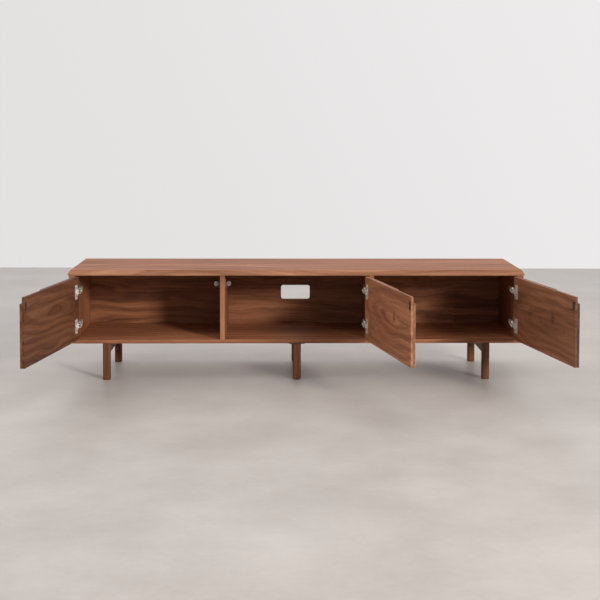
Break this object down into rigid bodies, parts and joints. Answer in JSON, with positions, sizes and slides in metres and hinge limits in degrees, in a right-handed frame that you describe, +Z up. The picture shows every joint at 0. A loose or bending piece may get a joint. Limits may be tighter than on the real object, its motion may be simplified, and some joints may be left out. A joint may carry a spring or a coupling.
{
  "type": "tv stand with doors",
  "caption": "Low walnut television stand on short legs, with inset doors on concealed hinges, closed compartments, finger recesses and a cable slot in the back",
  "frame": {"origin": "under the middle of the whole part at floor level, doors open as shown", "axes": "+X to the right seen from the front, +Y to the back, +Z up"},
  "size_m": [2.1651, 1.0798, 0.485],
  "materials": {
    "walnut_case": "oiled walnut, horizontal grain, satin",
    "walnut_door": "oiled walnut, cathedral grain, satin",
    "walnut_leg": "oiled solid walnut, upright grain, satin",
    "nickel": "nickel-plated pressed steel",
    "catch_grey": "grey catch body and steel strike",
    "black_fitting": "black glides and leg plates"
  },
  "bodies": {
    "case": {"top_panel": "walnut_case", "bottom_panel": "walnut_case", "left_side_panel": "walnut_case", "right_side_panel": "walnut_case", "left_divider": "walnut_case", "right_divider": "walnut_case", "back_panel": "walnut_case", "left_front_leg": "walnut_leg", "left_front_glide": "black_fitting", "left_rear_leg": "walnut_leg", "left_rear_glide": "black_fitting", "left_frame_rail": "walnut_leg", "center_front_leg": "walnut_leg", "center_front_glide": "black_fitting", "center_front_leg_plate": "black_fitting", "center_rear_leg": "walnut_leg", "center_rear_glide": "black_fitting", "center_rear_leg_plate": "black_fitting", "right_front_leg": "walnut_leg", "right_front_glide": "black_fitting", "right_rear_leg": "walnut_leg", "right_rear_glide": "black_fitting", "right_frame_rail": "walnut_leg", "left_upper_hinge_arm": "nickel", "left_lower_hinge_arm": "nickel", "left_upper_hinge_plate": "nickel", "left_lower_hinge_plate": "nickel", "left_catch": "catch_grey", "middle_upper_hinge_arm": "nickel", "middle_lower_hinge_arm": "nickel", "middle_upper_hinge_plate": "nickel", "middle_lower_hinge_plate": "nickel", "middle_catch": "catch_grey", "right_upper_hinge_arm": "nickel", "right_lower_hinge_arm": "nickel", "right_upper_hinge_plate": "nickel", "right_lower_hinge_plate": "nickel", "right_catch": "catch_grey"},
    "left_door": {"left_door_inner_board": "walnut_door", "left_door_face_board": "walnut_door", "left_door_strike": "catch_grey", "left_upper_hinge_cup": "nickel", "left_lower_hinge_cup": "nickel"},
    "left_upper_link": {"left_upper_hinge_link": "nickel"},
    "left_lower_link": {"left_lower_hinge_link": "nickel"},
    "middle_door": {"middle_door_inner_board": "walnut_door", "middle_door_face_board": "walnut_door", "middle_door_strike": "catch_grey", "middle_upper_hinge_cup": "nickel", "middle_lower_hinge_cup": "nickel"},
    "middle_upper_link": {"middle_upper_hinge_link": "nickel"},
    "middle_lower_link": {"middle_lower_hinge_link": "nickel"},
    "right_door": {"right_door_inner_board": "walnut_door", "right_door_face_board": "walnut_door", "right_door_strike": "catch_grey", "right_upper_hinge_cup": "nickel", "right_lower_hinge_cup": "nickel"},
    "right_upper_link": {"right_upper_hinge_link": "nickel"},
    "right_lower_link": {"right_lower_hinge_link": "nickel"}
  },
  "joints": [
    {"name": "left_door_hinge", "type": "hinge", "parent": "case", "child": "left_door", "pos_m": [-0.973, 0.08887, 0.32], "axis": [0, 0, 1], "range_deg": [-5.1, 99.9]},
    {"name": "left_upper_link_pin", "type": "hinge", "parent": "case", "child": "left_upper_link", "pos_m": [-0.9435, 0.10787, 0.3945], "axis": [0, 0, 1], "range_deg": [-6.38, 124.88]},
    {"name": "left_lower_link_pin", "type": "hinge", "parent": "case", "child": "left_lower_link", "pos_m": [-0.9435, 0.10787, 0.2455], "axis": [0, 0, 1], "range_deg": [-6.38, 124.88]},
    {"name": "middle_door_hinge", "type": "hinge", "parent": "case", "child": "middle_door", "pos_m": [0.32, 0.08887, 0.32], "axis": [0, 0, -1], "range_deg": [-2.8, 102.2]},
    {"name": "middle_upper_link_pin", "type": "hinge", "parent": "case", "child": "middle_upper_link", "pos_m": [0.2905, 0.10787, 0.3945], "axis": [0, 0, -1], "range_deg": [-3.5, 127.75]},
    {"name": "middle_lower_link_pin", "type": "hinge", "parent": "case", "child": "middle_lower_link", "pos_m": [0.2905, 0.10787, 0.2455], "axis": [0, 0, -1], "range_deg": [-3.5, 127.75]},
    {"name": "right_door_hinge", "type": "hinge", "parent": "case", "child": "right_door", "pos_m": [0.973, 0.08887, 0.32], "axis": [0, 0, -1], "range_deg": [-4.1, 100.9]},
    {"name": "right_upper_link_pin", "type": "hinge", "parent": "case", "child": "right_upper_link", "pos_m": [0.9435, 0.10787, 0.3945], "axis": [0, 0, -1], "range_deg": [-5.12, 126.12]},
    {"name": "right_lower_link_pin", "type": "hinge", "parent": "case", "child": "right_lower_link", "pos_m": [0.9435, 0.10787, 0.2455], "axis": [0, 0, -1], "range_deg": [-5.12, 126.12]}
  ],
  "couplings": [
    {"joint": "left_upper_link_pin", "follows": "left_door_hinge", "ratio": 1.25},
    {"joint": "left_lower_link_pin", "follows": "left_door_hinge", "ratio": 1.25},
    {"joint": "middle_upper_link_pin", "follows": "middle_door_hinge", "ratio": 1.25},
    {"joint": "middle_lower_link_pin", "follows": "middle_door_hinge", "ratio": 1.25},
    {"joint": "right_upper_link_pin", "follows": "right_door_hinge", "ratio": 1.25},
    {"joint": "right_lower_link_pin", "follows": "right_door_hinge", "ratio": 1.25}
  ]
}
